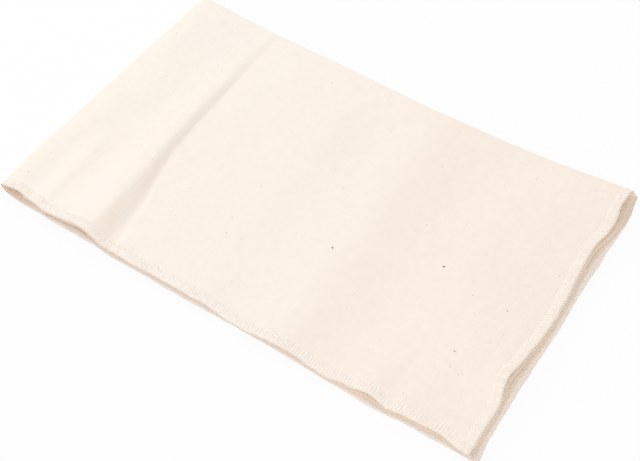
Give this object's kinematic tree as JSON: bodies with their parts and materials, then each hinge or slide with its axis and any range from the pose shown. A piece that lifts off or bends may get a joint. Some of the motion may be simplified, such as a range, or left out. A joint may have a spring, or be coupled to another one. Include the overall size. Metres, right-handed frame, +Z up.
{
  "type": "bakers couche cloth",
  "caption": "Rectangular proofing cloth of natural unbleached cotton canvas with overlocked edges, folded in quarters so that it opens on its short fold; lies flat on a table or peel board",
  "frame": {"origin": "on the surface it lies on, under the middle of the folded cloth's box", "axes": "+X runs from the short fold to the short raw edges, +Y from the long raw edges to the long folds, +Z up"},
  "size_m": [0.3881, 0.2294, 0.0086],
  "materials": {
    "canvas": "unbleached cotton canvas in a fine plain weave, matt, with a few darker seed flecks",
    "overlock_thread": "off-white spun thread of a three-thread overlock, matt, a little whiter than the canvas"
  },
  "bodies": {
    "lower_leaf": {"lower_leaf_canvas": "canvas", "bottom_layer_long_edge_face_looper_thread": "overlock_thread", "bottom_layer_long_edge_back_looper_thread": "overlock_thread", "bottom_layer_long_edge_needle_thread": "overlock_thread", "second_layer_long_edge_face_looper_thread": "overlock_thread", "second_layer_long_edge_back_looper_thread": "overlock_thread", "second_layer_long_edge_needle_thread": "overlock_thread", "lower_leaf_short_edge_face_looper_thread": "overlock_thread", "lower_leaf_short_edge_back_looper_thread": "overlock_thread", "lower_leaf_short_edge_needle_thread": "overlock_thread"},
    "upper_leaf": {"upper_leaf_canvas": "canvas", "top_layer_long_edge_face_looper_thread": "overlock_thread", "top_layer_long_edge_back_looper_thread": "overlock_thread", "top_layer_long_edge_needle_thread": "overlock_thread", "third_layer_long_edge_face_looper_thread": "overlock_thread", "third_layer_long_edge_back_looper_thread": "overlock_thread", "third_layer_long_edge_needle_thread": "overlock_thread", "upper_leaf_short_edge_face_looper_thread": "overlock_thread", "upper_leaf_short_edge_back_looper_thread": "overlock_thread", "upper_leaf_short_edge_needle_thread": "overlock_thread"}
  },
  "joints": [
    {"name": "unfold", "type": "hinge", "parent": "lower_leaf", "child": "upper_leaf", "pos_m": [-0.19412, 0, 0.0043], "axis": [0, -1, 0], "range_deg": [0, 179.9]}
  ]
}
